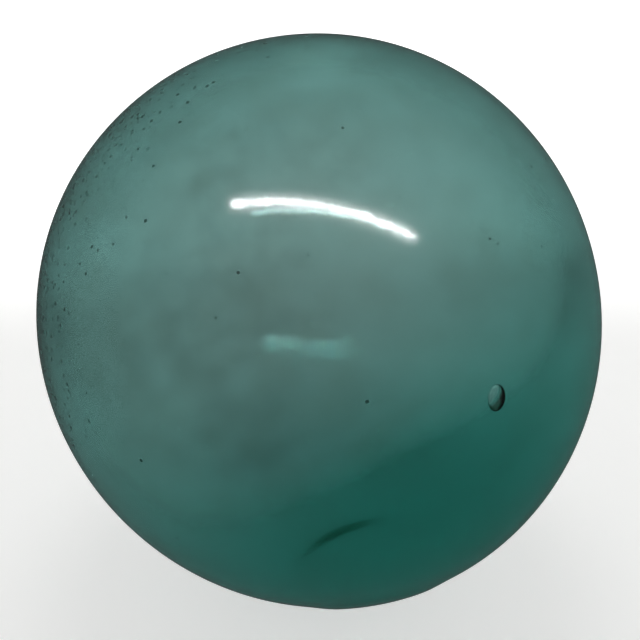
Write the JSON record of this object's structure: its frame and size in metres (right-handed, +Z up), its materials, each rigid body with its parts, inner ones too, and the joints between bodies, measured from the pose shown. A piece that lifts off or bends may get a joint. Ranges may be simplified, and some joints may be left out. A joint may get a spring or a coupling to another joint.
{
  "type": "glass float ball",
  "caption": "Sealed, hollow ball of sea-worn teal blown glass, used as a fishing-net float, with a seal button and a small flat spot to lie on.",
  "frame": {"origin": "middle of the ball's box, on the surface that the ball lies on", "axes": "+Z up as the ball lies on its flat spot; the seal button is low on the front, between +X and -Y"},
  "size_m": [0.099, 0.1002, 0.0989],
  "materials": {
    "sea_worn_glass": "teal soda glass, see-through, its outer skin matted and finely pitted by the sea"
  },
  "bodies": {
    "root": {"glass_float": "sea_worn_glass"}
  },
  "joints": []
}
